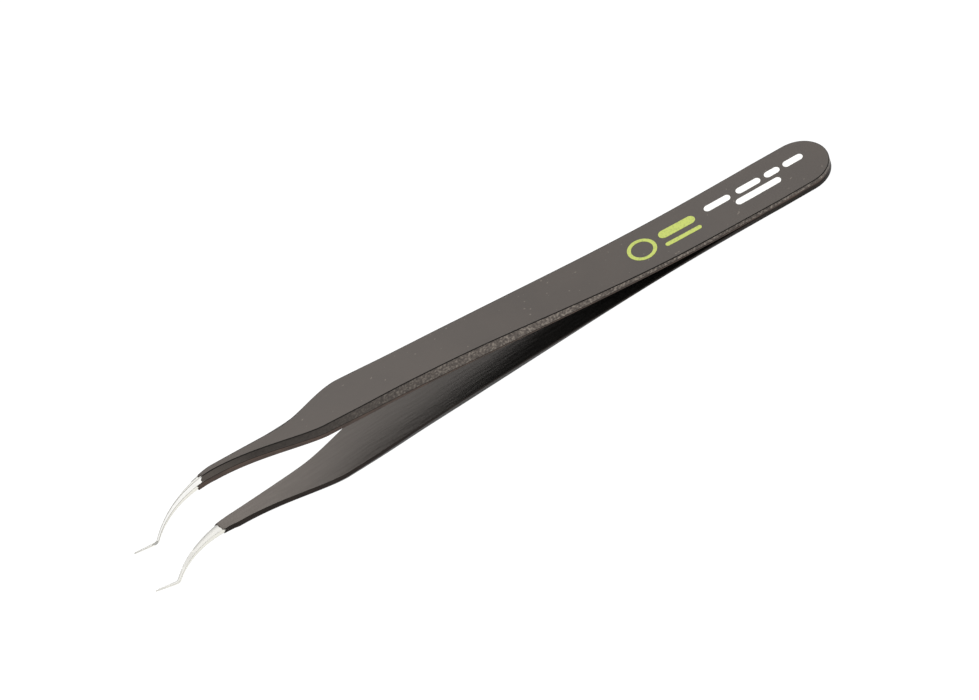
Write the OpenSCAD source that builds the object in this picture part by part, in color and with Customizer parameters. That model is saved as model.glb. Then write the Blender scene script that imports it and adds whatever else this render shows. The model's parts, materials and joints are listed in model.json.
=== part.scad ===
// Precision tweezers with curved tips, 120 mm long.
// Two spring-steel blades, welded flat to flat at the heel, dipped in a thin dark
// epoxy coat that stops short of the bare polished tips.
//
// The blades are drawn in a level frame first: "s" is the distance from the heel's
// end along the tool, +Y is the far side, the tips curve towards -Y, and z = 0 is
// the plane between the two blades.  place() then lays the tool down as it rests
// on a table: on the end of its heel and on the belly of the lower blade.

/* [Overall] */
// Length from the heel's end to the points of the tips
tool_l = 120; // [100:1:140]
// Free gap between the two blades where the coat ends
arm_gap = 9.9; // [6:0.1:12]
// Free gap between the points of the tips
tip_gap = 8.8; // [5:0.1:9.6]
// How far the blades are squeezed together: 0 is free, 1 is closed at the tips
squeeze = 0; // [0:0.05:1]

/* [Blade outline] */
// Width of the heel
heel_w = 9.5; // [8:0.1:11]
// Greatest width, over the springy part of the blade
spring_w = 9.9; // [8:0.1:11.5]
// Width at the finger grip, behind the shoulders
grip_w = 8.5; // [7:0.1:10]
// Width across the shoulders
shoulder_w = 8.8; // [7:0.1:10]
// Where the far shoulder starts to narrow
far_shoulder_s = 82; // [76:0.5:84]
// Where the near shoulder starts to narrow
near_shoulder_s = 87; // [84:0.5:90]
// Half width of the neck, on its far side, where the tips' curve starts
neck_far = 1; // [0.8:0.05:1.4]
// How much wider the neck's far side is just in front of the shoulder
neck_flare = 0.85; // [0:0.05:1]
// Half width of the neck, on its near side
neck_near = 1.4; // [0.8:0.05:1.6]

/* [Blade thickness] */
// Coated thickness of one blade at the heel
heel_t = 0.88; // [0.6:0.02:1.1]
// Coated thickness of one blade where the spring is thinnest
spring_t = 0.7; // [0.5:0.02:0.9]
// Coated thickness of one blade at the shoulders
shoulder_t = 1.62; // [1.2:0.02:1.9]
// Thickness of the epoxy coat
coat_t = 0.12; // [0.06:0.01:0.16]
// Width of the bevel along each side of the outer face
bevel_w = 0.7; // [0.4:0.05:0.8]
// Height of the square land under the bevel, at the finger grip
land_grip = 0.26; // [0.2:0.02:0.5]
// Height of the square land under the bevel, at the neck
land_neck = 0.96; // [0.6:0.02:1.2]

/* [Heel] */
// Length of the heel, where the two blades lie flat together
heel_l = 12; // [10:0.5:14]
// Diameter of each spot weld
weld_d = 2.2; // [1.5:0.1:2.6]
// Number of spot welds along the heel
weld_n = 3; // [2:1:3]
// Depth that a spot weld reaches into each blade
weld_depth = 0.15; // [0.1:0.01:0.2]

/* [Spring] */
// Where the spring ends and the stiff part of the blade starts
spring_end_s = 36; // [32:0.5:40]
// Clearance left between each closed tip and the middle plane
closed_clear = 0.02; // [0.01:0.01:0.1]

/* [Tips] */
// Radius of the curve that the tips follow
curve_r = 14.5; // [12:0.5:18]
// Angle that the tips have turned at the end of the curve
curve_deg = 54; // [45:1:60]
// Angle by which the last short point leans back past the tool's axis
point_deg = 9; // [0:1:15]
// Radius of the elbow between the curve and the point
elbow_r = 0.7; // [0.5:0.1:1]
// Length of the last straight point
point_l = 3.2; // [2.5:0.1:4]
// Half width of the steel at the elbow
elbow_half = 0.24; // [0.2:0.01:0.35]
// Thickness of the steel at the elbow
elbow_t = 0.42; // [0.35:0.01:0.6]
// Half width of the steel at the very point
point_half = 0.1; // [0.08:0.01:0.16]
// Thickness of the steel at the very point
point_t = 0.22; // [0.18:0.01:0.35]
// Where the coat ends, just round the start of the tips' curve
coat_end_s = 107; // [105.5:0.5:108]

/* [Print] */
// Thickness of the printed ink
ink_t = 0.02; // [0.01:0.01:0.04]
// Height of a printed bar
bar_h = 1.3; // [0.8:0.1:1.6]
// Outer diameter of the printed ring
ring_d = 4.6; // [3:0.1:5]
// Width of the printed ring's line
ring_line = 0.6; // [0.4:0.1:1]

/* [Hidden] */
$fn = 64;

steel_color = "silver";
coat_color = "#3a3633";
white_ink = "white";
green_ink = "#b9c94a";

// Finest spacing of the blade's cross-sections, and the coarse one
fine_step = 1;
coarse_step = 2;
// Cross-sections round the tip's curve, its elbow and its point
curve_n = 16;
elbow_n = 6;
point_n = 3;

// The blade thins from here, is thinnest here, and has thickened fully here
thin_start_s = 14;
thinnest_s = 30;
thickest_s = 68;
// How early each shoulder falls, and how early the tip's width and thickness taper
shoulder_power = 0.8;
half_power = 1.6;
thick_tip_power = 1.3;
// Where the gap between the blades starts and stops opening
gap_start_s = 12;
gap_open_l = 97;
gap_power = 0.95;
// Where the bevel fades in, in front of the heel
bevel_start_s = 11;
bevel_fade_l = 50;
bevel_power = 0.8;
// Where the neck's flare is widest, and where its wider bevel starts
flare_s = 93;
flare_bevel_s = 84;
// Where the square land grows, towards the neck
land_start_s = 60;
land_grow_l = 44;
// Where the outline is widest, and where it has narrowed to the finger grip
widest_s = 27;
narrow_s = 73;
// Lengths over which the far and the near shoulder narrow to the neck
far_shoulder_l = 12;
near_shoulder_l = 17.5;
// Heights at which the two rows of print run, and where the ring's middle is
long_row_y = 1.1;
short_row_y = -0.95;
green_rows_y = [0.8, -1.5];
green_rows_h = [1.7, 0.8];
ring_s = 32.1;
// Sections round the printed ring
ring_n = 40;

// ---- the path of a blade, in plan ----
curve_l = curve_r * curve_deg * PI / 180;
elbow_l = elbow_r * (curve_deg + point_deg) * PI / 180;
curve_run = curve_r * sin(curve_deg);
elbow_run = elbow_r * (sin(curve_deg) + sin(point_deg));
point_run = point_l * cos(point_deg);
// Distance along the path where the curve, the elbow, the point and the end lie
curve_s = tool_l - curve_run - elbow_run - point_run;
elbow_s = curve_s + curve_l;
point_s = elbow_s + elbow_l;
end_s = point_s + point_l;
curve_drop = curve_r * (1 - cos(curve_deg));
elbow_drop = elbow_r * (cos(point_deg) - cos(curve_deg));

// The spring acts as one hinge at its middle; this slope brings the tips together
pivot_s = (heel_l + spring_end_s) / 2;
close_slope = (tip_gap / 2 - closed_clear) / (tool_l - pivot_s);

// Angle that the path has turned at distance s
function turn(s) =
    s < curve_s ? 0 :
    s < elbow_s ? (s - curve_s) / curve_r * 180 / PI :
    s < point_s ? curve_deg - (s - elbow_s) / elbow_r * 180 / PI :
    -point_deg;

// How far along the tool, and how far to the side, the path is at distance s
function along(s) =
    s < curve_s ? s :
    s < elbow_s ? curve_s + curve_r * sin(turn(s)) :
    s < point_s ? curve_s + curve_run + elbow_r * (sin(curve_deg) - sin(turn(s))) :
    curve_s + curve_run + elbow_run + (s - point_s) * cos(point_deg);
function aside(s) =
    s < curve_s ? 0 :
    s < elbow_s ? -curve_r * (1 - cos(turn(s))) :
    s < point_s ? -curve_drop - elbow_r * (cos(turn(s)) - cos(curve_deg)) :
    -curve_drop - elbow_drop + (s - point_s) * sin(point_deg);

// ---- the blade's cross-section ----
// A smooth step from 0 to 1, and a smooth blend between two values
function clamp01(t) = min(1, max(0, t));
function ease(t) = let (c = clamp01(t)) c * c * (3 - 2 * c);
function blend(a, b, t) = a + (b - a) * ease(t);

// How much of the tip's taper is left at distance s: 1 at the coat's end, 0 at the elbow
function taper_left(s) = 1 - clamp01((s - curve_s) / (elbow_s - curve_s));
// How far along the last point s is, 0 at the elbow and 1 at the very point
function along_point(s) = clamp01((s - elbow_s) / (end_s - elbow_s));
// A coated size that tapers from the neck, through the elbow, to the point.
// The elbow's and the point's sizes are of bare steel, so the coat is added to them.
function tip_size(s, neck, elbow, point, coat, power) =
    s < elbow_s ? elbow + coat + (neck - elbow - coat) * pow(taper_left(s), power) :
    elbow + coat + (point - elbow) * along_point(s);

// Half width of the blade over its coat, before the shoulders
function body_half(s) =
    s < widest_s ? blend(heel_w, spring_w, s / widest_s) / 2 :
    s < narrow_s ? blend(spring_w, grip_w, (s - widest_s) / (narrow_s - widest_s)) / 2 :
    blend(grip_w, shoulder_w, (s - narrow_s) / (far_shoulder_s - narrow_s)) / 2;
function side_half(s, neck, shoulder_s, shoulder_l) =
    let (t = clamp01((s - shoulder_s) / shoulder_l))
    neck + (body_half(s) - neck) * (1 - ease(pow(t, shoulder_power)));
// The far side of the neck narrows all the way to the start of the tips' curve
function flare(s) = neck_flare * clamp01((curve_s - s) / (curve_s - flare_s));
function far_half(s) =
    s < curve_s ? side_half(s, neck_far + flare(s), far_shoulder_s, far_shoulder_l) :
    tip_size(s, neck_far, elbow_half, point_half, coat_t, half_power);
function near_half(s) =
    s < curve_s ? side_half(s, neck_near, near_shoulder_s, near_shoulder_l) :
    tip_size(s, neck_near, elbow_half, point_half, coat_t, half_power);
function thick(s) =
    s < thinnest_s ? blend(heel_t, spring_t, (s - thin_start_s) / (thinnest_s - thin_start_s)) :
    s < curve_s ? blend(spring_t, shoulder_t, (s - thinnest_s) / (thickest_s - thinnest_s)) :
    tip_size(s, shoulder_t, elbow_t, point_t, 2 * coat_t, thick_tip_power);
// How far squeezing the blades brings the inner face in, at distance s: the spring
// bends as a parabola, so that the arm turns as if hinged at the spring's middle
function squeezed(s) =
    close_slope * (
        s < heel_l ? 0 :
        s < spring_end_s ? pow(s - heel_l, 2) / (2 * (spring_end_s - heel_l)) :
        along(s) - pivot_s
    );
// Distance of the inner face from the middle plane
function half_gap(s) =
    arm_gap / 2 * ease(pow(clamp01((s - gap_start_s) / gap_open_l), gap_power))
    - ((arm_gap - tip_gap) / 2 + coat_t) * clamp01((s - curve_s) / (end_s - curve_s))
    - squeeze * squeezed(s);
function outer_z(s) = half_gap(s) + thick(s);
// The bevel and the land shrink with the tip, so that the section keeps its shape
function tip_scale(s) = s < curve_s ? 1 : thick(s) / shoulder_t;
function bevel(s) =
    bevel_w * pow(clamp01((s - bevel_start_s) / bevel_fade_l), bevel_power) * tip_scale(s);
function far_bevel(s) =
    bevel(s) + flare(s) * ease((s - flare_bevel_s) / (flare_s - flare_bevel_s));
// The far side keeps a low land all along; the near side's land grows towards the neck
function far_land(s) = land_grip * tip_scale(s);
function near_land(s) =
    blend(land_grip, land_neck, (s - land_start_s) / land_grow_l) * tip_scale(s);

// One six-sided cross-section of the upper blade, drawn in by inset
function section(s, inset) =
    let (
        far = far_half(s) - inset,
        near = near_half(s) - inset,
        z0 = half_gap(s) + inset,
        z1 = outer_z(s) - inset,
        zf = half_gap(s) + min(far_land(s), 0.75 * thick(s)),
        zn = half_gap(s) + min(near_land(s), 0.75 * thick(s)),
        b = min(bevel(s), 0.45 * (far + near)),
        far_b = min(far_bevel(s), 0.45 * (far + near))
    )
    [[far - far_b, z1], [far, zf], [far, z0], [-near, z0], [-near, zn], [-near + b, z1]];
// The same section, standing square across the path
function ring(s, inset) =
    let (a = turn(s), x = tool_l / 2 - along(s), y = aside(s))
    [for (p = section(s, inset)) [x - p[0] * sin(a), y + p[0] * cos(a), p[1]]];

// ---- solids made from rows of rings ----
function flat(list) = [for (part = list) each part];
// Side faces between neighbouring rings of n points, counted from point number first.
// Each patch is cut along the same diagonal, so that a coat fits the steel inside it.
function sides(rows, n, first, turned) = [
    for (i = [0 : rows - 2], j = [0 : n - 1])
        let (a = first + i * n + j, b = first + i * n + (j + 1) % n)
        each turned
            ? [[b + n, b, a], [a + n, b + n, a]]
            : [[a, b, b + n], [a, b + n, a + n]]
];
// A solid bar through the rings
module bar(rings) {
    n = len(rings[0]);
    last = (len(rings) - 1) * n;
    polyhedron(
        points = flat(rings),
        faces = concat(
            sides(len(rings), n, 0, false),
            [[for (j = [0 : n - 1]) n - 1 - j]],
            [[for (j = [0 : n - 1]) last + j]]
        ),
        convexity = 6
    );
}
// A hollow sleeve between two rows of rings, open at both ends
module sleeve(outer, inner) {
    n = len(outer[0]);
    rows = len(outer);
    base = rows * n;
    last = (rows - 1) * n;
    polyhedron(
        points = concat(flat(outer), flat(inner)),
        faces = concat(
            sides(rows, n, 0, false),
            sides(rows, n, base, true),
            [for (j = [0 : n - 1]) let (k = (j + 1) % n) [k, j, base + j, base + k]],
            [for (j = [0 : n - 1]) let (k = (j + 1) % n)
                [last + j, last + k, base + last + k, base + last + j]]
        ),
        convexity = 6
    );
}

// ---- where the cross-sections stand ----
function spread(a, b, step) =
    let (n = ceil((b - a) / step)) [for (i = [0 : n]) a + (b - a) * i / n];
spring_stations = spread(heel_l, spring_end_s, coarse_step);
grip_stations = spread(spring_end_s, far_shoulder_s, coarse_step);
neck_stations = spread(far_shoulder_s + fine_step / 2, curve_s - fine_step / 2, fine_step);
coat_stations = concat(grip_stations, neck_stations, spread(curve_s, coat_end_s, fine_step / 2));
bare_l = elbow_s - coat_end_s;
curve_stations = [for (i = [1 : curve_n]) coat_end_s + bare_l * i / curve_n];
elbow_stations = [for (i = [1 : elbow_n]) elbow_s + elbow_l * i / elbow_n];
point_stations = [for (i = [1 : point_n]) point_s + point_l * i / point_n];
steel_stations = concat(coat_stations, curve_stations, elbow_stations, point_stations);

// ---- how the tool lies ----
// The tool leans until its lower blade's belly and the end of its heel share one level
rest_tilt = max([for (s = [20 : 0.5 : 110]) atan2(outer_z(s) - heel_t, s)]);
rest_lift = tool_l / 2 * sin(rest_tilt) + heel_t * cos(rest_tilt);
side_shift = (curve_drop + elbow_r * (1 - cos(curve_deg)) + elbow_half - spring_w / 2) / 2;
end_shift = (half_gap(end_s) + point_t - heel_t) / 2 * sin(rest_tilt);
module place() {
    translate([end_shift, side_shift, rest_lift])
    rotate([0, rest_tilt, 0])
    children();
}
module lower() {
    mirror([0, 0, 1])
    children();
}

// ---- heel ----
// Outline of the heel, drawn in by inset
module heel_outline(inset) {
    half = heel_w / 2 - inset;
    front_half = body_half(heel_l) - inset;
    round_x = tool_l / 2 - heel_w / 2;
    front_x = tool_l / 2 - heel_l;
    translate([round_x, 0])
    circle(half);
    polygon([[round_x, half], [front_x, front_half], [front_x, -front_half], [round_x, -half]]);
}
weld_pitch = (heel_l - weld_d) / weld_n;
module weld_discs() {
    for (i = [0 : weld_n - 1])
        translate([tool_l / 2 - weld_d - i * weld_pitch, 0, -weld_depth])
        cylinder(d = weld_d, h = 2 * weld_depth);
}
module blade_heel() {
    difference() {
        linear_extrude(heel_t - coat_t)
        heel_outline(coat_t);
        weld_discs();
    }
}

module upper_blade_heel() {
    color(steel_color)
    place()
    blade_heel();
}
module lower_blade_heel() {
    color(steel_color)
    place()
    lower()
    blade_heel();
}
module heel_spot_welds() {
    color(steel_color)
    place()
    weld_discs();
}
// One coat runs round both blades at the heel
module heel_coating() {
    color(coat_color)
    place()
    difference() {
        translate([0, 0, -heel_t])
        linear_extrude(2 * heel_t)
        heel_outline(0);
        translate([0, 0, coat_t - heel_t])
        linear_extrude(2 * (heel_t - coat_t))
        union() {
            heel_outline(coat_t);
            translate([tool_l / 2 - heel_l - coat_t, coat_t - body_half(heel_l)])
            square([2 * coat_t, 2 * (body_half(heel_l) - coat_t)]);
        }
    }
}

// ---- blades ----
function rings_at(stations, inset) = [for (s = stations) ring(s, inset)];
module blade_spring() bar(rings_at(spring_stations, coat_t));
module coating_spring() sleeve(rings_at(spring_stations, 0), rings_at(spring_stations, coat_t));
module blade_arm() bar(rings_at(steel_stations, coat_t));
module coating_arm() sleeve(rings_at(coat_stations, 0), rings_at(coat_stations, coat_t));

module upper_blade_spring() {
    color(steel_color)
    place()
    blade_spring();
}
module lower_blade_spring() {
    color(steel_color)
    place()
    lower()
    blade_spring();
}
module upper_coating_spring() {
    color(coat_color)
    place()
    coating_spring();
}
module lower_coating_spring() {
    color(coat_color)
    place()
    lower()
    coating_spring();
}
module upper_blade_arm() {
    color(steel_color)
    place()
    blade_arm();
}
module lower_blade_arm() {
    color(steel_color)
    place()
    lower()
    blade_arm();
}
module upper_coating_arm() {
    color(coat_color)
    place()
    coating_arm();
}
module lower_coating_arm() {
    color(coat_color)
    place()
    lower()
    coating_arm();
}

// ---- print on the upper blade's outer face ----
// Height of the outer face, which is flat between two neighbouring cross-sections
function face_z(s) =
    s < heel_l ? heel_t :
    let (
        step = spring_stations[1] - spring_stations[0],
        a = heel_l + step * floor((s - heel_l) / step),
        part = (s - a) / step
    )
    outer_z(a) * (1 - part) + outer_z(a + step) * part;
// One piece of ink is a bar with round ends; this is its half height at distance s
function bar_half(s, s0, s1, h) =
    let (d = min(h / 2, s - s0, s1 - s)) sqrt(pow(h / 2, 2) - pow(h / 2 - d, 2));
function ink_section(s, y0, y1) =
    let (x = tool_l / 2 - s, z = face_z(s))
    [[x, y1, z + ink_t], [x, y1, z], [x, y0, z], [x, y0, z + ink_t]];
// Stations along a bar: close together round each end, and on the blade's own between
function bar_stations(s0, s1, h) =
    concat(
        [for (a = [30 : 20 : 90]) s0 + h / 2 * (1 - cos(a))],
        [for (s = spring_stations) if (s > s0 + h / 2 && s < s1 - h / 2) s],
        [for (a = [90 : -20 : 30]) s1 - h / 2 * (1 - cos(a))]
    );
module print_bar(s0, s1, y, h) {
    bar([
        for (s = bar_stations(s0, s1, h))
            let (half = bar_half(s, s0, s1, h))
            ink_section(s, y - half, y + half)
    ]);
}
// A ring of ink, as a closed loop of four-sided sections
module print_ring(mid_s, d, line) {
    rings = [
        for (i = [0 : ring_n])
            let (
                a = 360 * i / ring_n,
                rim = [for (r = [d / 2, d / 2 - line]) [mid_s + r * cos(a), r * sin(a)]],
                z = [for (p = rim) face_z(p[0])]
            )
            [
                [tool_l / 2 - rim[0][0], rim[0][1], z[0] + ink_t],
                [tool_l / 2 - rim[0][0], rim[0][1], z[0]],
                [tool_l / 2 - rim[1][0], rim[1][1], z[1]],
                [tool_l / 2 - rim[1][0], rim[1][1], z[1] + ink_t]
            ]
    ];
    polyhedron(points = flat(rings), faces = sides(ring_n + 1, 4, 0, true), convexity = 6);
}
module ink(shade) {
    color(shade)
    place()
    children();
}
module white_print_long_row() {
    ink(white_ink)
    for (span = [[3.4, 6.8], [7.5, 10.1], [10.9, 15.1], [16.2, 20.7]])
        print_bar(span[0], span[1], long_row_y, bar_h);
}
module white_print_short_row() {
    ink(white_ink)
    print_bar(8.4, 16.2, short_row_y, bar_h);
}
module green_print_ring() {
    ink(green_ink)
    print_ring(ring_s, ring_d, ring_line);
}
module green_print_rows() {
    ink(green_ink)
    for (row = [0, 1])
        print_bar(22.6, 28.8, green_rows_y[row], green_rows_h[row]);
}

upper_blade_heel();
lower_blade_heel();
heel_spot_welds();
heel_coating();
upper_blade_spring();
lower_blade_spring();
upper_coating_spring();
lower_coating_spring();
upper_blade_arm();
lower_blade_arm();
upper_coating_arm();
lower_coating_arm();
white_print_long_row();
white_print_short_row();
green_print_ring();
green_print_rows();
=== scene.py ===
# %% [markdown]
# # Precision tweezers with curved tips
#
# The tool is two strips of spring steel, welded flat to flat at the heel. A thin
# matte black epoxy coat covers them up to the start of the curved tips, which stay
# bare and polished. This script builds the visible skin of the tool round the packed
# CAD model: it measures the model first, then lofts each blade and each coat as one
# long piece.

import json
import math

import bmesh
import bpy
from mathutils import Matrix, Vector, noise


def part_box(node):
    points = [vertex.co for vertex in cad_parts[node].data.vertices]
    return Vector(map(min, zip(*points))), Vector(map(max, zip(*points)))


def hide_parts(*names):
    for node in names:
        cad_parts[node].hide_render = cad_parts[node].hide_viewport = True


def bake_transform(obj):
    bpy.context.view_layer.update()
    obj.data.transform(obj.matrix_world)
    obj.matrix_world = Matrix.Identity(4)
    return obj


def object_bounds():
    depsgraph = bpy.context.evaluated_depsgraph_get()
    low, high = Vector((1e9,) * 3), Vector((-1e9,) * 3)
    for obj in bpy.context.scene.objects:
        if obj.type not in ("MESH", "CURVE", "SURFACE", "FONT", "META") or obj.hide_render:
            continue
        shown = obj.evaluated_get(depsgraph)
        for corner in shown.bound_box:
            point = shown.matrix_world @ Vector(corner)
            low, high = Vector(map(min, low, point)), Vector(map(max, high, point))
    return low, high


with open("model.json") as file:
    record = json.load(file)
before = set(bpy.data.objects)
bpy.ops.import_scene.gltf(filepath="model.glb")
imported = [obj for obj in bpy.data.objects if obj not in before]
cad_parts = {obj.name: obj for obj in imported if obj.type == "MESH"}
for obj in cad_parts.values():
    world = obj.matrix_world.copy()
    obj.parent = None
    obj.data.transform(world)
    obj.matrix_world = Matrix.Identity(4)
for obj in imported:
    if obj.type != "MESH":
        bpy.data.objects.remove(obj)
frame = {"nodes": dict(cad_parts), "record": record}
cad_low, cad_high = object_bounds()
print("CAD box in mm:", [round(1000 * v, 2) for v in (*cad_low, *cad_high)])

# %% [markdown]
# ## A level frame for the blades
#
# The tool lies leaning on its heel and on the belly of its lower blade. It is easier
# to shape a blade in a level frame: s runs from the heel's end along the tool, y is
# the side, and z is the height above the plane between the blades, all in millimetres.
# The lean comes from the heel's lower face, and the heel's sizes from its box: a plate
# l long and t thick that leans by an angle a fills a box of l cos a + t sin a by
# l sin a + t cos a, so the two sides of the box give l and t back.

# %% Measure the heel and the whole tool
MM = 0.001
lower_face = next(m for m in frame["record"]["mounts"] if m["name"] == "heel_lower_face")
lean = math.atan2(-lower_face["axis"][0], -lower_face["axis"][2])
lean_cos, lean_sin = math.cos(lean), math.sin(lean)

heel_low, heel_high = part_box("heel_coating")
box_l, box_w, box_t = (heel_high - heel_low) / MM
spread = lean_cos ** 2 - lean_sin ** 2
heel_t = (box_t * lean_cos - box_l * lean_sin) / spread / 2
heel_w = box_w
nose = Vector((
    heel_high.x - heel_t * MM * lean_sin,
    (heel_low.y + heel_high.y) / 2,
    heel_low.z + heel_t * MM * lean_cos,
))

tip_x = [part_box(node)[0].x for node in ("upper_blade_arm", "lower_blade_arm")]
tool_l = (nose.x - sum(tip_x) / 2) / lean_cos / MM
spring_low, spring_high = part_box("upper_coating_spring")
spring_w = (spring_high.y - spring_low.y) / MM
level = Matrix.Translation(nose) @ Matrix.Rotation(lean, 4, "Y") @ Matrix.Scale(MM, 4)

# %% [markdown]
# ## The path of a blade
#
# Seen from above, a blade runs straight, then follows a curve to one side, turns
# sharply back at an elbow and ends in a short straight point. Each stretch is a line
# or an arc, so the place and the heading at any distance s come from a formula.

# %% The path in plan
curve_r = 14.5
curve_a = math.radians(54)
back_a = math.radians(9)
elbow_r = 0.7
point_l = 3.2

curve_run = curve_r * math.sin(curve_a)
curve_drop = curve_r * (1 - math.cos(curve_a))
elbow_run = elbow_r * (math.sin(curve_a) + math.sin(back_a))
elbow_drop = elbow_r * (math.cos(back_a) - math.cos(curve_a))
curve_s = tool_l - curve_run - elbow_run - point_l * math.cos(back_a)
elbow_s = curve_s + curve_r * curve_a
point_s = elbow_s + elbow_r * (curve_a + back_a)
end_s = point_s + point_l


def heading(s):
    """Angle that the path has turned towards -Y."""
    if s < curve_s:
        return 0.0
    if s < elbow_s:
        return (s - curve_s) / curve_r
    if s < point_s:
        return curve_a - (s - elbow_s) / elbow_r
    return -back_a


def path(s):
    """How far along and how far to the side the path is."""
    a = heading(s)
    if s < curve_s:
        return s, 0.0
    if s < elbow_s:
        return curve_s + curve_r * math.sin(a), -curve_r * (1 - math.cos(a))
    if s < point_s:
        along = curve_s + curve_run + elbow_r * (math.sin(curve_a) - math.sin(a))
        return along, -curve_drop - elbow_r * (math.cos(a) - math.cos(curve_a))
    left = s - point_s
    along = curve_s + curve_run + elbow_run + left * math.cos(back_a)
    return along, -curve_drop - elbow_drop + left * math.sin(back_a)


print(f"curve starts at {curve_s:.1f} mm, elbow at {elbow_s:.1f} mm, the point ends at {end_s:.1f} mm")

# %% [markdown]
# ## The cross-section of a blade
#
# The section has six corners: a flat outer face, a bevelled flank on each side, a
# small square land under each flank, and a flat inner face. Its sizes change along
# the blade: thin at the spring, thick at the shoulders, and fine at the point.

# %% Sizes, in millimetres
arm_gap, tip_gap = 9.9, 8.8
grip_w, shoulder_w = 8.5, 8.8
neck_far, neck_near, neck_flare = 1.0, 1.4, 0.85
far_shoulder_s, near_shoulder_s = 82.0, 87.0
far_shoulder_l, near_shoulder_l = 12.0, 17.5
flare_s, flare_bevel_s = 93.0, 84.0
widest_s, narrow_s = 27.0, 73.0
thin_start_s, thinnest_s, thickest_s = 14.0, 30.0, 68.0
spring_t, shoulder_t = 0.70, 1.62
coat_t = 0.12
bevel_w = 0.7
bevel_start_s, bevel_grow_l = 11, 50
land_grip, land_neck = 0.26, 0.96
land_start_s, land_grow_l = 60, 44
gap_start_s, gap_grow_l = 12, 97
coat_end_s = 107.0
elbow_half, point_half = 0.24, 0.10
elbow_t, point_t = 0.42, 0.22

# How hollow each taper is: 1 is straight.
neck_power, gap_power, bevel_power = 0.8, 0.95, 0.8
wide_tip_power, thick_tip_power = 1.6, 1.3

# The most of a section's thickness that a land takes, and of its width that a bevel takes.
most_land, most_bevel = 0.75, 0.45
print(f"each blade is {heel_t:.2f}, then {spring_t:.2f}, then {shoulder_t:.2f} mm thick")

# %% [markdown]
# ## The section at any place
#
# Each size has its own function of s, which eases from one station's value to the
# next one's. A section then takes all of them at one s. An inset draws it in by the
# coat's thickness, for the steel inside the coat.

# %% How each size changes
def clamp01(t):
    return min(1.0, max(0.0, t))


def ease(t):
    """0 to 1 with a soft start and a soft end."""
    t = clamp01(t)
    return t * t * (3 - 2 * t)


def mix(a, b, t):
    """From a to b as t goes from 0 to 1, with soft ends."""
    return a + (b - a) * ease(t)


def tip_size(s, neck, elbow, point, coat, power):
    """A coated size that tapers from the neck, through the elbow, to the point."""
    if s < elbow_s:
        left = 1 - clamp01((s - curve_s) / (elbow_s - curve_s))
        return elbow + coat + (neck - elbow - coat) * left ** power
    return elbow + coat + (point - elbow) * clamp01((s - elbow_s) / (end_s - elbow_s))


def body_half(s):
    """Half the width behind the shoulders, from the round nose on."""
    if s < heel_w / 2:
        return math.sqrt(max(0.0, s * (heel_w - s)))
    if s < widest_s:
        return mix(heel_w, spring_w, s / widest_s) / 2
    if s < narrow_s:
        return mix(spring_w, grip_w, (s - widest_s) / (narrow_s - widest_s)) / 2
    return mix(grip_w, shoulder_w, (s - narrow_s) / (far_shoulder_s - narrow_s)) / 2


def flare(s):
    """The far side of the neck narrows all the way to the start of the tips' curve."""
    return neck_flare * clamp01((curve_s - s) / (curve_s - flare_s))


def side_half(s, neck, shoulder_s, shoulder_l):
    """How far one side is from the path; its shoulder starts at shoulder_s."""
    if s >= curve_s:
        return tip_size(s, neck, elbow_half, point_half, coat_t, wide_tip_power)
    t = clamp01((s - shoulder_s) / shoulder_l) ** neck_power
    return neck + (body_half(s) - neck) * (1 - ease(t))


def thick(s):
    """The coated thickness of one blade."""
    if s < thinnest_s:
        return mix(heel_t, spring_t, (s - thin_start_s) / (thinnest_s - thin_start_s))
    if s < curve_s:
        return mix(spring_t, shoulder_t, (s - thinnest_s) / (thickest_s - thinnest_s))
    return tip_size(s, shoulder_t, elbow_t, point_t, 2 * coat_t, thick_tip_power)


def half_gap(s):
    """The height of the inner face above the plane between the blades."""
    opening = ease(clamp01((s - gap_start_s) / gap_grow_l) ** gap_power)
    closing = (arm_gap - tip_gap) / 2 + coat_t
    return arm_gap / 2 * opening - closing * clamp01((s - curve_s) / (end_s - curve_s))


def section(s, inset=0.0):
    """The six corners of the upper blade, as (side, height), drawn in by inset."""
    shrink = thick(s) / shoulder_t if s > curve_s else 1.0
    far = max(0.0, side_half(s, neck_far + flare(s), far_shoulder_s, far_shoulder_l) - inset)
    near = max(0.0, side_half(s, neck_near, near_shoulder_s, near_shoulder_l) - inset)
    low, high = half_gap(s) + inset, half_gap(s) + thick(s) - inset
    near_land_h = mix(land_grip, land_neck, (s - land_start_s) / land_grow_l)
    far_land = half_gap(s) + min(land_grip * shrink, most_land * thick(s))
    near_land = half_gap(s) + min(near_land_h * shrink, most_land * thick(s))
    bevel = bevel_w * clamp01((s - bevel_start_s) / bevel_grow_l) ** bevel_power * shrink
    far_bevel = bevel + flare(s) * ease((s - flare_bevel_s) / (flare_s - flare_bevel_s))
    bevel, far_bevel = (min(b, most_bevel * (far + near)) for b in (bevel, far_bevel))
    return [
        (far - far_bevel, high), (far, far_land), (far, low),
        (-near, low), (-near, near_land), (bevel - near, high),
    ]


def ring(s, inset=0.0):
    """The section's corners in the level frame, square across the path."""
    along, side = path(s)
    a = heading(s)
    sin_a, cos_a = math.sin(a), math.cos(a)
    return [Vector((-along - y * sin_a, side + y * cos_a, z)) for y, z in section(s, inset)]


shoulder_section = [(round(y, 2), round(z, 2)) for y, z in section(far_shoulder_s)]
print("section at the shoulders, in mm:", shoulder_section)

# %% [markdown]
# ## Lofting a blade
#
# A blade is too slender and too curved for one box, and a curve object with a bevel
# profile can't change its section. So the first ring of six corners is extruded from
# station to station with bmesh, and each new ring is moved to its own section. Every
# face and every long edge remembers which band of the section it belongs to, so the
# bevels and the finishes can be put on band by band.

# %% Loft rings of corners into a tube
BANDS = ("far flank", "far land", "inner face", "near land", "near flank", "outer face")
CORNERS = len(BANDS)


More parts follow.
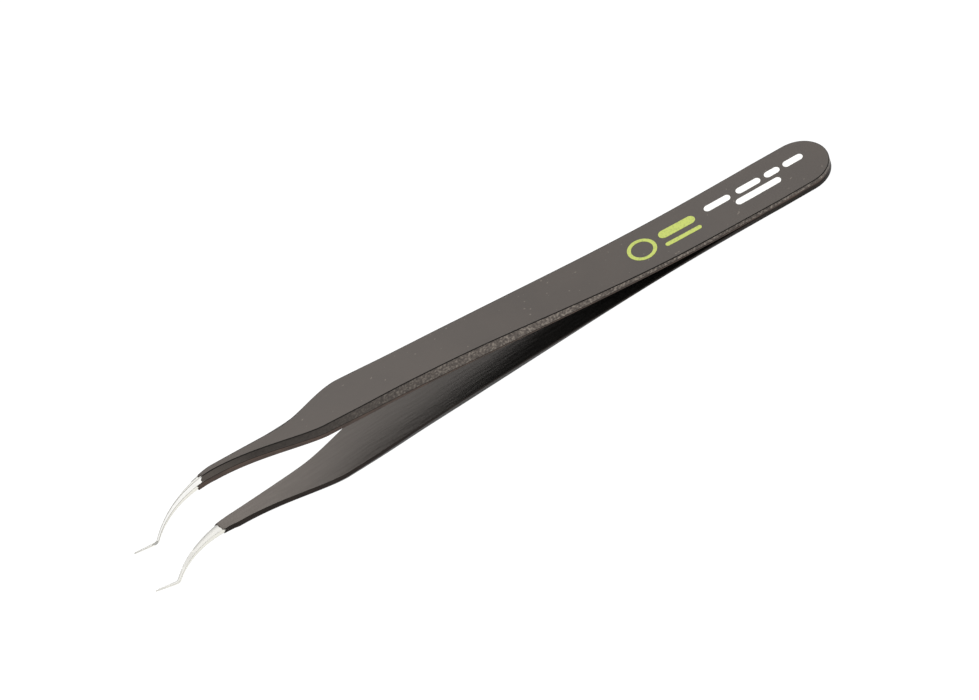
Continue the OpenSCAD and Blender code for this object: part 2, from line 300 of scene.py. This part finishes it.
def even(a, b, step):
    """Evenly spaced places from a to b, no further apart than step."""
    n = math.ceil((b - a) / step)
    return [a + (b - a) * i / n for i in range(n + 1)]


def nose_stations(inset):
    """Places round the nose of the heel, closer together where it turns faster."""
    r = heel_w / 2 - inset
    return [inset + r * (1 - math.cos(math.radians(a))) for a in range(0, 90, 5)]


def loft(stations, inset):
    """A tube of six-cornered rings. Returns the bmesh, with its band and chain layers set."""
    bm = bmesh.new()
    band = bm.faces.layers.int.new("band")
    chain = bm.edges.layers.int.new("chain")
    corners = [bm.verts.new(p) for p in ring(stations[0], inset)]
    loop = [bm.edges.new((corners[i], corners[(i + 1) % CORNERS])) for i in range(CORNERS)]
    for s in stations[1:]:
        made = set(bmesh.ops.extrude_edge_only(bm, edges=loop)["geom"])
        rails = [next(e for e in v.link_edges if e.other_vert(v) in made) for v in corners]
        for i, rail in enumerate(rails):
            rail[chain] = i + 1
        corners = [rail.other_vert(v) for rail, v in zip(rails, corners)]
        loop = [bm.edges.get((corners[i], corners[(i + 1) % CORNERS])) for i in range(CORNERS)]
        for i, edge in enumerate(loop):
            edge.link_faces[0][band] = i
        for corner, place in zip(corners, ring(s, inset)):
            corner.co = place
    return bm


print("bands of a section:", ", ".join(BANDS))

# %% [markdown]
# ## Rounding and finishing a loft
#
# No real edge is perfectly sharp, so every long edge gets a small bevel. The flat faces
# of the round nose are joined into one face each first, or the bevel would find no
# room between them. The finished mesh is mirrored for the lower blade, laid down in the
# part's own frame, and shaded smooth except where two faces meet at a real corner.

# %% Heal, bevel and finish
SHARP_ANGLE = math.radians(35)


def heal_nose(bm):
    """Joins the slivers on the flat faces of the round nose, so that its rim can be rounded."""
    band = bm.faces.layers.int["band"]
    flats = (BANDS.index("outer face"), BANDS.index("inner face"))
    rungs = []
    for edge in bm.edges:
        bands = {f[band] for f in edge.link_faces}
        if len(edge.link_faces) == 2 and len(bands) == 1 and bands.pop() in flats:
            if all(v.co.x > -heel_w / 2 for v in edge.verts):
                rungs.append(edge)
    bmesh.ops.dissolve_edges(bm, edges=rungs, use_verts=False)


def bevel_chains(bm, chains, width, segments, from_s=-1.0, clamp=True):
    """Rounds the long edges with these chain numbers, from the distance from_s on."""
    chain = bm.edges.layers.int["chain"]
    edges = [e for e in bm.edges if e[chain] in chains and len(e.link_faces) == 2]
    edges = [e for e in edges if max(v.co.x for v in e.verts) < -from_s]
    made = bmesh.ops.bevel(
        bm, geom=edges, offset=width, offset_type="OFFSET", segments=segments,
        profile=0.5, affect="EDGES", clamp_overlap=clamp, material=-1,
    )
    return made["faces"]


def finish_mesh(bm, name, mirrored, slots):
    """Lays the level mesh down in the part's own frame and makes an object of it."""
    if mirrored:
        bmesh.ops.scale(bm, vec=(1, 1, -1), verts=bm.verts)
    bmesh.ops.transform(bm, matrix=level, verts=bm.verts)
    bmesh.ops.recalc_face_normals(bm, faces=bm.faces)
    for face in bm.faces:
        face.smooth = True
    for edge in bm.edges:
        edge.smooth = edge.calc_face_angle(0.0) < SHARP_ANGLE
    mesh = bpy.data.meshes.new(name)
    bm.to_mesh(mesh)
    bm.free()
    for material in slots:
        mesh.materials.append(material)
    piece = bpy.data.objects.new(name, mesh)
    bpy.context.scene.collection.objects.link(piece)
    print(f"{name}: {len(mesh.polygons)} faces")
    return piece


def even_shading(piece):
    """Flat bands stay flat, and only the bevels between them look round."""
    shading = piece.modifiers.new("even_shading", "WEIGHTED_NORMAL")
    shading.mode = "FACE_AREA"
    shading.weight = 50
    shading.keep_sharp = True


print(f"edges over {math.degrees(SHARP_ANGLE):.0f} degrees stay sharp")

# %% [markdown]
# ## Colours and nodes
#
# Colours are written as the sRGB hex values that a paint chip would have, and one
# function turns them to the linear values that the shader needs. One more function
# adds a node with its settings and its links.

# %% Colour and node helpers
def paint(code):
    """Linear RGBA from an sRGB hex code."""
    channels = [int(code[i:i + 2], 16) / 255 for i in (1, 3, 5)]
    linear = [c / 12.92 if c <= 0.04045 else ((c + 0.055) / 1.055) ** 2.4 for c in channels]
    return (*linear, 1.0)


def add(tree, kind, settings=None, inputs=None):
    """Adds a node; an input that is a socket is linked, and any other is set."""
    made = tree.nodes.new(kind)
    for key, value in (settings or {}).items():
        setattr(made, key, value)
    for key, value in (inputs or {}).items():
        if isinstance(value, bpy.types.NodeSocket):
            tree.links.new(value, made.inputs[key])
        else:
            made.inputs[key].default_value = value
    return made


def start_material(name):
    """A material, its tree, its shader, and the place in the piece's own coordinates."""
    material = bpy.data.materials.new(name)
    material.use_nodes = True
    tree = material.node_tree
    shader = tree.nodes["Principled BSDF"]
    coords = add(tree, "ShaderNodeTexCoord")
    return material, tree, shader, coords.outputs["Object"]


def ramp(tree, factor, stops):
    """A colour ramp with (position, colour) stops."""
    made = add(tree, "ShaderNodeValToRGB", inputs={"Fac": factor})
    made.color_ramp.elements[0].position, made.color_ramp.elements[0].color = stops[0]
    made.color_ramp.elements[1].position, made.color_ramp.elements[1].color = stops[-1]
    for position, colour in stops[1:-1]:
        made.color_ramp.elements.new(position).color = colour
    return made.outputs["Color"]


print("mid grey #808080 is", round(paint("#808080")[0], 3), "in linear light")

# %% [markdown]
# ## Patterns with real sizes
#
# Every pattern is measured in metres in the piece's own coordinates, so a grain keeps
# its size wherever it lies. Grains can be drawn out along the blade, as grinding and
# dipping draw them.

# %% Grain, place along the blade, mixing, relief and gloss
def grain_noise(tree, place, size, stretch=1.0, turn=0.0, detail=3.0):
    """Noise with grains of a real size in metres, drawn out along the blade by stretch."""
    scale = (1 / (size * stretch), 1 / size, 1 / size)
    mapping_inputs = {"Vector": place, "Rotation": (0, 0, turn), "Scale": scale}
    mapping = add(tree, "ShaderNodeMapping", inputs=mapping_inputs)
    noise_inputs = {"Vector": mapping.outputs["Vector"], "Scale": 1.0, "Detail": detail}
    return add(tree, "ShaderNodeTexNoise", inputs=noise_inputs).outputs["Fac"]


def along_blade(tree, place, start, end):
    """0 up to start and 1 beyond end, both in millimetres from the nose."""
    x = add(tree, "ShaderNodeSeparateXYZ", inputs={"Vector": place}).outputs["X"]
    limits = {"From Min": nose.x - start * MM, "From Max": nose.x - end * MM}
    return add(tree, "ShaderNodeMapRange", inputs={"Value": x, **limits}).outputs["Result"]


def mix_colour(tree, factor, a, b):
    """Colour a where the factor is 0, and b where it is 1."""
    mixed = add(tree, "ShaderNodeMix", {"data_type": "RGBA"}, {"Factor": factor, "A": a, "B": b})
    return mixed.outputs["Result"]


def bump(tree, shader, height, strength, distance):
    """Relief on the finish; distance is its real height in metres."""
    relief = {"Height": height, "Strength": strength, "Distance": distance}
    made = add(tree, "ShaderNodeBump", inputs=relief)
    tree.links.new(made.outputs["Normal"], shader.inputs["Normal"])


def gloss(shader, roughness, level):
    """How sharp and how strong the sheen is, with the slight warmth of a baked coat."""
    shader.inputs["Roughness"].default_value = roughness
    shader.inputs["Specular IOR Level"].default_value = level
    shader.inputs["Specular Tint"].default_value = paint("#fff3ea")


print("pattern sizes are in metres, places along the blade in mm from x =", round(nose.x, 4))

# %% [markdown]
# ## The finishes of the coat: outer face
#
# Baked epoxy is smooth and matte, a warm near-black with a fine tooth. A few light
# specks of dust are baked into it.

# %% Outer face of the coat
def coat_face_material():
    """Smooth matte epoxy with a fine tooth and a few light specks."""
    material, tree, shader, place = start_material("epoxy_coat_outer_face")
    cloud = grain_noise(tree, place, 0.007)
    base = ramp(tree, cloud, [(0.35, paint("#1f1b18")), (0.65, paint("#241f1b"))])
    dots = grain_noise(tree, place, 0.0005, detail=0.0)
    specks = ramp(tree, dots, [(0.80, paint("#000000")), (0.86, paint("#ffffff"))])
    colour = mix_colour(tree, specks, base, paint("#4a443e"))
    tree.links.new(colour, shader.inputs["Base Color"])
    bump(tree, shader, grain_noise(tree, place, 0.00016), 0.2, 0.00002)
    gloss(shader, 0.5, 0.5)
    return material


coat_face = coat_face_material()
print("made", coat_face.name)

# %% [markdown]
# ## The finishes of the coat: flanks
#
# The bevelled flanks of the upper blade, where a hand rubs them, are grainy and light from
# the heel to the finger grip: partly the coat worn thin over the ground bevel, partly
# painted light from the front. Towards the shoulders they turn dark, as painted shade,
# and they turn lighter again at the thin neck. The lower blade's flanks stay dark all
# along, as painted shade.

# %% Flanks of the coat
def coat_flank_material(name, light_and_wear, level):
    """The bevelled flank; on the upper blade it is grainy and light, partly wear and partly painted
    light.
    """
    material, tree, shader, place = start_material(name)
    grain = grain_noise(tree, place, 0.00028, stretch=1.3)
    colour = ramp(tree, grain, [(0.3, paint("#12100f")), (0.7, paint("#221f1c"))])
    # Upper blade: a light grainy band, partly thin worn coat and partly painted light, going dark
    # towards the shoulders as painted shade, and lighter again at the neck.
    if light_and_wear:
        full_and_shaded = colour
        rubbed_and_lit_stops = [(0.36, paint("#302c29")), (0.52, paint("#4a443f")), (0.68, paint("#746d65"))]
        thin = ramp(tree, grain, rubbed_and_lit_stops)
        neck = mix_colour(tree, along_blade(tree, place, 97, 104), full_and_shaded, paint("#383430"))
        colour = mix_colour(tree, along_blade(tree, place, 56, 88), thin, full_and_shaded)
        colour = mix_colour(tree, along_blade(tree, place, 94, 98), colour, neck)
    tree.links.new(colour, shader.inputs["Base Color"])
    bump(tree, shader, grain, 0.6, 0.00006)
    gloss(shader, 0.45, level)
    return material


worn_and_lit_flank = coat_flank_material("epoxy_coat_worn_and_lit_flank", True, 0.35)
# A darker copy for the lower blade's flank, as painted shade.
shaded_flank = coat_flank_material("epoxy_coat_painted_shade_flank", False, 0.1)
print("made", worn_and_lit_flank.name, "and", shaded_flank.name)

# %% [markdown]
# ## The finishes of the coat: lands
#
# The square lands are brownish, because the coat is thinnest there. Faint streaks run
# along the blade. The lower blade's land is a darker copy, as painted shade.

# %% Lands of the coat
def coat_land_material(name, dark, light, level):
    """The square land under the flank: brownish, where the coat is thinnest."""
    material, tree, shader, place = start_material(name)
    streaks = grain_noise(tree, place, 0.0009, stretch=3)
    colour = ramp(tree, streaks, [(0.35, paint(dark)), (0.65, paint(light))])
    tree.links.new(colour, shader.inputs["Base Color"])
    bump(tree, shader, grain_noise(tree, place, 0.0002), 0.3, 0.00003)
    gloss(shader, 0.5, level)
    return material


upper_land = coat_land_material("epoxy_coat_brown_land", "#2c231f", "#40332c", 0.3)
# The lower blade's land is painted darker: painted shade.
shaded_lower_land = coat_land_material("epoxy_coat_painted_shade_land", "#14100e", "#1f1916", 0.12)
print("made", upper_land.name, "and", shaded_lower_land.name)

# %% [markdown]
# ## The finishes of the coat: inner face and edges
#
# Inside, the coat ran while it dried, which left long shallow wrinkles that die out at
# the shoulders. Its colour is painted shade: near black between the blades, lighter
# towards the shoulders, where the face opens out. Along every rolled edge a thin dark
# line is painted, as painted shade.

# %% Inner face and edges of the coat
def coat_inner_material():
    """The inner face: the dipped coat dried in long shallow wrinkles."""
    material, tree, shader, place = start_material("epoxy_coat_inner_face")
    wrinkle = grain_noise(tree, place, 0.0005, stretch=7, turn=math.radians(6), detail=4.0)
    # Painted shade: near black deep between the blades, lighter from 66 to 100 mm towards the
    # shoulders.
    shade_between_blades = ramp(tree, wrinkle, [(0.35, paint("#0d0c0b")), (0.65, paint("#131210"))])
    lighter_at_shoulders = ramp(tree, wrinkle, [(0.35, paint("#45403c")), (0.65, paint("#4b4642"))])
    colour = mix_colour(tree, along_blade(tree, place, 66, 100), shade_between_blades, lighter_at_shoulders)
    tree.links.new(colour, shader.inputs["Base Color"])
    level_height = (0.5, 0.5, 0.5, 1.0)
    height = mix_colour(tree, along_blade(tree, place, 80, 92), wrinkle, level_height)
    bump(tree, shader, height, 0.5, 0.00009)
    gloss(shader, 0.36, 0.25)
    return material


def coat_edge_material():
    """The thin dark line along the rolled edges: painted shade."""
    material, tree, shader, place = start_material("epoxy_coat_painted_shade_edge")
    patches = grain_noise(tree, place, 0.0008)
    colour = ramp(tree, patches, [(0.35, paint("#080707")), (0.7, paint("#100f0e"))])
    tree.links.new(colour, shader.inputs["Base Color"])
    gloss(shader, 0.6, 0.12)
    return material


coat_inner = coat_inner_material()
shaded_coat_edge = coat_edge_material()
print("made", coat_inner.name, "and", shaded_coat_edge.name)

# %% [markdown]
# ## The finishes of the steel
#
# The bare tips are stainless steel, so every finish is a metal with the default index
# of refraction. They differ in how far each face was polished: the wide faces are
# ground, the flanks polished, the lands satin and the edges dull. Their colours carry
# painted reflections too: the flanks are near white, a painted highlight, and the edges
# are dark, a painted dark reflection. The sharp turn at the upper blade's elbow is
# painted darker, a painted dark reflection.

# %% Bare steel
def steel_material(name, dark, light, smoothest, roughest):
    """Steel with fine grinding lines along the blade."""
    material, tree, shader, place = start_material(name)
    lines = grain_noise(tree, place, 0.00008, stretch=25, detail=2.0)
    colour = ramp(tree, lines, [(0.3, paint(dark)), (0.7, paint(light))])
    tree.links.new(colour, shader.inputs["Base Color"])
    shader.inputs["Metallic"].default_value = 1.0
    limits = {"To Min": smoothest, "To Max": roughest}
    rough = add(tree, "ShaderNodeMapRange", inputs={"Value": lines, **limits})
    tree.links.new(rough.outputs["Result"], shader.inputs["Roughness"])
    bump(tree, shader, lines, 0.1, 0.00001)
    return material


steel = steel_material("ground_steel_face", "#888784", "#93928e", 0.30, 0.42)
# Painted highlight: the flanks are near white.
highlight_flank_steel = steel_material("polished_steel_flank_painted_highlight", "#eeede9", "#fbfaf7", 0.20, 0.30)
land_steel = steel_material("satin_steel_land", "#dddbd2", "#e9e7df", 0.32, 0.42)
# Painted dark reflection along the edges.
dark_reflection_edge_steel = steel_material("dull_steel_edge_painted_dark_reflection", "#6e6d68", "#84827c", 0.45, 0.55)
# Painted dark reflection on the upper blade's elbow.
dark_reflection_elbow_steel = steel_material("steel_elbow_painted_dark_reflection", "#9a9995", "#a8a7a2", 0.35, 0.45)
steels = [steel, highlight_flank_steel, land_steel, dark_reflection_edge_steel, dark_reflection_elbow_steel]
print("made", ", ".join(s.name for s in steels))

# %% [markdown]
# ## The inks
#
# Pad printing leaves a thin film of flat ink, a little thinner here and there.

# %% Printed ink
def ink_material(name, thin, solid):
    """A flat ink film with faint thin patches."""
    material, tree, shader, place = start_material(name)
    patch_inputs = {"Vector": place, "Scale": 1 / 0.0003, "Detail": 2.0}
    patch = add(tree, "ShaderNodeTexNoise", inputs=patch_inputs)
    colour = ramp(tree, patch.outputs["Fac"], [(0.3, paint(thin)), (0.5, paint(solid))])
    tree.links.new(colour, shader.inputs["Base Color"])
    shader.inputs["Roughness"].default_value = 0.5
    return material


white_ink = ink_material("white_pad_print", "#c0bfbc", "#d4d3d0")
green_ink = ink_material("green_pad_print", "#7e8a35", "#97a23e")
print("made", white_ink.name, "and", green_ink.name)

# %% [markdown]
# ## The end of the coat
#
# A dipped coat is wiped by hand at the start of the tips, so it ends in a ragged line.
# The last stretch of the loft is cut finer, then pushed forward or back with a smooth
# noise that has a coarse wave and a fine one. All sizes are in millimetres.

# %% Break up the coat's end
ragged_l = 1.6
ragged_waves = (0.6, 2.0), (0.35, 5.0)
ragged_cuts = 5
rung_skew = 0.1
land_margin = 0.05


def ragged_end(bm, wipe):
    """Breaks up the coat's end.

    wipe is how far forward the end goes above the land, on it, and per mm to the far side.
    """
    a = heading(coat_end_s)
    forward = Vector((-math.cos(a), -math.sin(a), 0))
    across = Vector((-math.sin(a), math.cos(a), 0))
    along, side = path(coat_end_s)
    end = Vector((-along, side, half_gap(coat_end_s) + thick(coat_end_s) / 2))
    near_land_corner = section(coat_end_s)[BANDS.index("near flank")]
    land_top = near_land_corner[1] - end.z + land_margin
    near_end = [e for e in bm.edges if all((v.co - end).dot(forward) > -ragged_l for v in e.verts)]
    rungs = []
    for edge in near_end:
        if abs((edge.verts[0].co - edge.verts[1].co).dot(forward)) < rung_skew:
            rungs.append(edge)
    bmesh.ops.subdivide_edges(bm, edges=rungs, cuts=ragged_cuts, use_grid_fill=True)
    for v in bm.verts:
        away = v.co - end
        reach = away.dot(forward)
        if reach > -ragged_l:
            push = sum(deep * noise.noise(v.co * fine) for deep, fine in ragged_waves)
            push += (wipe[0] if away.z > land_top else wipe[1]) + wipe[2] * away.dot(across)
            v.co += forward * push * clamp01(1 + reach / ragged_l)


print(f"the coat is ragged over its last {ragged_l} mm, up to s = {coat_end_s:.0f} mm")

# %% [markdown]
# ## The epoxy coat
#
# The coat is a skin that follows the steel. The loft runs from the nose of the heel to
# the ragged line where the dipped coat ends. The outer edges get a wide roll, because
# paint pulls back from an edge, and the inner edges a narrow one.

# %% Loft the coat
COAT_SLOT = {
    "outer face": 0,
    "far flank": 1,
    "near flank": 1,
    "far land": 2,
    "near land": 2,
    "inner face": 3,
}
COAT_EDGE_SLOT = 4

# The chains of edges that are rolled, each roll's width, and the place it starts at.
coat_rolls = ((1, 6), 0.20, -1.0), ((2, 5), 0.07, 16.0), ((3, 4), 0.12, 12.5)
upper_wipe, lower_wipe = (-0.42, 0.6, 0.1), (0.3, 0.3, 0.25)

# A hair thinner than the real coat, so that the skin and the steel never coincide.
skin_share = 0.98
body_step, neck_step = 1.0, 0.5
weld_dist = 0.001


def coat_blade(name, mirrored):
    """The coat of one blade; mirrored makes the lower one."""
    stations = nose_stations(0.0) + even(heel_w / 2, far_shoulder_s, body_step)
    stations += even(far_shoulder_s, coat_end_s, neck_step)[1:]
    bm = loft(stations, 0.0)
    band = bm.faces.layers.int["band"]
    for face in bm.faces:
        face.material_index = COAT_SLOT[BANDS[face[band]]]
    bmesh.ops.remove_doubles(bm, verts=bm.verts, dist=weld_dist)
    heal_nose(bm)
    ragged_end(bm, lower_wipe if mirrored else upper_wipe)
    # The rolled edges take the dark edge finish, which is painted shade.
    for chains, width, from_s in coat_rolls:
        for face in bevel_chains(bm, chains, width, 4, from_s):
            face.material_index = COAT_EDGE_SLOT
    # The lower blade takes the dark copies of the flank and the land, as painted shade.
    flank, land = (shaded_flank, shaded_lower_land) if mirrored else (worn_and_lit_flank, upper_land)
    piece = finish_mesh(bm, name, mirrored, [coat_face, flank, land, coat_inner, shaded_coat_edge])
    skin = piece.modifiers.new("skin", "SOLIDIFY")
    skin.thickness = coat_t * MM * skin_share
    skin.offset = -1
    even_shading(piece)
    return piece


upper_coat = coat_blade("upper_epoxy_coat", False)
lower_coat = coat_blade("lower_epoxy_coat", True)

# %% [markdown]
# ## The steel blades
#
# The steel is the same loft, drawn in by the thickness of the coat, and carried on
# round the curve, through the elbow and out to the point.

# %% Loft the steel
STEEL_SLOT = {
    "outer face": 0,
    "inner face": 0,
    "far flank": 1,
    "near flank": 1,
    "far land": 2,
    "near land": 2,
}
STEEL_EDGE_SLOT = 3
STEEL_ELBOW_SLOT = 4

# The chains of edges that are rounded, and each one's width.
steel_rounds = ((1, 6), 0.05), ((2, 5), 0.03), ((3, 4), 0.02)
curve_step, elbow_step, point_step = 0.3, 0.08, 0.4

# How far along the painted dark reflection on the upper elbow's turn starts and ends.
dark_from, dark_to = path(elbow_s)[0] + 0.1, path(point_s)[0] + 0.2


def steel_blade(name, mirrored):
    """The steel of one blade; mirrored makes the lower one."""
    stations = nose_stations(coat_t) + even(heel_w / 2, far_shoulder_s, body_step)
    stations += even(far_shoulder_s, curve_s, neck_step)[1:]
    stations += even(curve_s, elbow_s, curve_step)[1:]
    stations += even(elbow_s, point_s, elbow_step)[1:]
    stations += even(point_s, end_s, point_step)[1:]
    bm = loft(stations, coat_t)
    bmesh.ops.remove_doubles(bm, verts=bm.verts, dist=weld_dist)
    heal_nose(bm)
    open_edges = [e for e in bm.edges if len(e.link_faces) == 1]
    bmesh.ops.contextual_create(bm, geom=open_edges)
    band = bm.faces.layers.int["band"]
    for face in bm.faces:
        face.material_index = STEEL_SLOT[BANDS[face[band]]]
    for chains, width in steel_rounds:
        for face in bevel_chains(bm, chains, width, 2, from_s=curve_s, clamp=False):
            face.material_index = STEEL_EDGE_SLOT
    # Painted dark reflection on the turn of the upper elbow.
    if not mirrored:
        for face in bm.faces:
            if dark_from < -face.calc_center_median().x < dark_to:
                face.material_index = STEEL_ELBOW_SLOT
    piece = finish_mesh(bm, name, mirrored, steels)
    even_shading(piece)
    return piece


upper_blade = steel_blade("upper_steel_blade", False)
lower_blade = steel_blade("lower_steel_blade", True)

# %% [markdown]
# ## The print
#
# The real tool carries words and a symbol. Plain bars and a plain ring take their
# place. Each is cut flat, then every point is dropped onto the outer face.

# %% Print bars and a ring on the outer face
ink_t = 0.02

# The ink reaches this far into the coat, so that no gap shows under it.
sink = 0.004
cut_step = 0.8


def lay_on_face(bm):
    """Drops a flat shape onto the outer face and gives it the ink's thickness."""
    low = min(v.co.x for v in bm.verts)
    high = max(v.co.x for v in bm.verts)
    for s in even(low, high, cut_step)[1:-1]:
        geom = list(bm.verts) + list(bm.edges) + list(bm.faces)
        bmesh.ops.bisect_plane(bm, geom=geom, plane_co=(s, 0, 0), plane_no=(1, 0, 0))
    for v in bm.verts:
        s = v.co.x
        v.co = Vector((-s, v.co.y, half_gap(s) + thick(s) - sink))
    made = bmesh.ops.extrude_face_region(bm, geom=list(bm.faces))
    top = [v for v in made["geom"] if isinstance(v, bmesh.types.BMVert)]
    bmesh.ops.translate(bm, vec=(0, 0, ink_t + sink), verts=top)


def bar_shape(bm, s0, s1, y, h):
    """A bar with round ends: a disc, its two halves pulled apart."""
    disc = bmesh.ops.create_circle(bm, cap_ends=True, radius=h / 2, segments=32)["verts"]
    for v in disc:
        v.co.x += (s0 + h / 2) if v.co.x < 0 else (s1 - h / 2)
        v.co.y += y


def ring_shape(bm, s, d, line):
    """A ring of outer diameter d, with a line of this width."""
    outer = bmesh.ops.create_circle(bm, radius=d / 2, segments=64)["verts"]
    inner = bmesh.ops.create_circle(bm, radius=d / 2 - line, segments=64)["verts"]
    bmesh.ops.bridge_loops(bm, edges=list(bm.edges))
    bmesh.ops.translate(bm, vec=(s, 0, 0), verts=outer + inner)


def print_piece(name, material, draw, shapes):
    """One printed piece; draw makes each shape from its own sizes."""
    joined = bmesh.new()
    for shape in shapes:
        bm = bmesh.new()
        draw(bm, *shape)
        lay_on_face(bm)
        scrap = bpy.data.meshes.new("scrap")
        bm.to_mesh(scrap)
        joined.from_mesh(scrap)
        bm.free()
        bpy.data.meshes.remove(scrap)
    return finish_mesh(joined, name, False, [material])


print(f"the ink is {ink_t} mm thick")

# %% [markdown]
# ## The two rows and the mark
#
# Each bar is given by where it starts and ends along the tool, its side and its height,
# and the ring by its place, its diameter and the width of its line, in millimetres.

# %% Place the print
white_h = 1.3
long_y, short_y = 1.1, -0.95
long_spans = (3.4, 6.8), (7.5, 10.1), (10.9, 15.1), (16.2, 20.7)
long_row = [(start, end, long_y, white_h) for start, end in long_spans]
short_row = [(8.4, 16.2, short_y, white_h)]
green_rows = [(22.6, 28.8, 0.8, 1.7), (22.6, 28.8, -1.5, 0.8)]
mark = (32.1, 4.6, 0.6)
white_long = print_piece("white_print_long", white_ink, bar_shape, long_row)
white_short = print_piece("white_print_short", white_ink, bar_shape, short_row)
green_bars = print_piece("green_print_bars", green_ink, bar_shape, green_rows)
green_ring = print_piece("green_print_mark", green_ink, ring_shape, [mark])

# %% [markdown]
# ## The pieces in place of the CAD nodes
#
# The two blades are springs: the heel stays still, each arm swings in, and the thin
# steel between them bends. Each long piece is baked into place, and the CAD nodes
# that it stands for are hidden.


def bend_with(piece, arm, slot, *nodes):
    """Bakes a piece's transform and hides the CAD nodes it stands for."""
    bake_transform(piece)
    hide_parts(*nodes)


upper_coat_nodes = "heel_coating", "upper_coating_spring", "upper_coating_arm"
lower_coat_nodes = "heel_coating", "lower_coating_spring", "lower_coating_arm"
upper_blade_nodes = "upper_blade_heel", "upper_blade_spring", "upper_blade_arm"
lower_blade_nodes = "lower_blade_heel", "lower_blade_spring", "lower_blade_arm"
bend_with(upper_coat, "upper_arm", "epoxy_coat", *upper_coat_nodes)
bend_with(lower_coat, "lower_arm", "epoxy_coat", *lower_coat_nodes)
bend_with(upper_blade, "upper_arm", "blade_steel", *upper_blade_nodes)
bend_with(lower_blade, "lower_arm", "blade_steel", *lower_blade_nodes)
bend_with(white_long, "upper_arm", "white_ink", "white_print_long_row")
bend_with(white_short, "upper_arm", "white_ink", "white_print_short_row")
bend_with(green_bars, "upper_arm", "green_ink", "green_print_rows")
bend_with(green_ring, "upper_arm", "green_ink", "green_print_ring")

# %% [markdown]
# ## The welds
#
# The spot welds keep the CAD's own shape. They are hidden between the two blades, and
# they have the blades' steel.

# %% Finish the welds
welds = frame["nodes"]["heel_spot_welds"]
welds.data.materials.clear()
welds.data.materials.append(steel)
print("welds are finished in", steel.name)

# %% [markdown]
# ## Floor
#
# The floor is a plain pale plane that glows like a light table, so the tool lies on an
# even white with no shadow round it.

# %% Floor
floor_gap = 0.0001
bpy.ops.mesh.primitive_plane_add(size=4, location=(0, 0, cad_low.z - floor_gap))
floor = bpy.context.object
floor.name = "floor"
floor_material, tree, shader, place = start_material("pale_floor")
shader.inputs["Base Color"].default_value = paint("#404040")
shader.inputs["Emission Color"].default_value = paint("#ffffff")
shader.inputs["Emission Strength"].default_value = 1.0
shader.inputs["Roughness"].default_value = 0.9
shader.inputs["Specular IOR Level"].default_value = 0.0
floor.data.materials.append(floor_material)
print(f"floor at {1000 * floor.location.z:.2f} mm")

# %% [markdown]
# ## Light
#
# A plain white room lights everything evenly. A large soft box behind the tool gives
# its outer face a sheen, and a long low one in front lights the flanks.

# %% Room and soft boxes
world = bpy.data.worlds.new("studio")
bpy.context.scene.world = world
world.use_nodes = True
world.node_tree.nodes["Background"].inputs["Color"].default_value = paint("#ffffff")
world.node_tree.nodes["Background"].inputs["Strength"].default_value = 1.0


def soft_box(name, place, aim, size, power):
    """A rectangular soft light at a place in metres that faces the aim."""
    light = bpy.data.lights.new(name, "AREA")
    light.shape = "RECTANGLE"
    light.size, light.size_y = size
    light.energy = power
    lamp = bpy.data.objects.new(name, light)
    lamp.location = place
    lamp.rotation_mode = "QUATERNION"
    lamp.rotation_quaternion = (Vector(aim) - Vector(place)).to_track_quat("-Z", "Y")
    bpy.context.scene.collection.objects.link(lamp)
    return lamp


far_box = soft_box("far_softbox", (-0.15, 0.39, 0.61), (0, 0, 0), (1.2, 0.6), 6.5)
near_box = soft_box("near_softbox", (-0.1, -0.75, 0.22), (0, 0, 0), (1.2, 0.3), 2.6)
print("soft boxes in W:", {b.name: round(b.data.energy, 2) for b in (far_box, near_box)})

# %% [markdown]
# ## Camera
#
# The camera looks down on the tool from the front at about 45 degrees, and is rolled so
# that the tool lies from the lower left to the upper right. The view transform is the
# plain one, so that the hex colours come out as they were written.

# %% Place the camera
camera_data = bpy.data.cameras.new("camera")
camera = bpy.data.objects.new("camera", camera_data)
bpy.context.scene.collection.objects.link(camera)
bpy.context.scene.camera = camera
camera_data.lens = 123.43
camera_data.sensor_width = 36
distance = 0.5
aim = Vector((0.00058, 0.00017, 0.00386))
azimuth, elevation, roll = (math.radians(a) for a in (-6.693, 45.156, 27.332))
back = Vector((
    math.sin(azimuth) * math.cos(elevation),
    -math.cos(azimuth) * math.cos(elevation),
    math.sin(elevation),
))
right = Vector((math.cos(azimuth), math.sin(azimuth), 0))
up = back.cross(right)
rolled_right = right * math.cos(roll) - up * math.sin(roll)
rolled_up = up * math.cos(roll) + right * math.sin(roll)
turn = Matrix((rolled_right, rolled_up, back)).transposed()
camera.rotation_mode = "QUATERNION"
camera.rotation_quaternion = turn.to_quaternion()
camera.location = aim + back * distance
camera_data.clip_start = 0.01
bpy.context.scene.view_settings.view_transform = "Standard"
print("camera at, in mm:", [round(1000 * v) for v in camera.location])
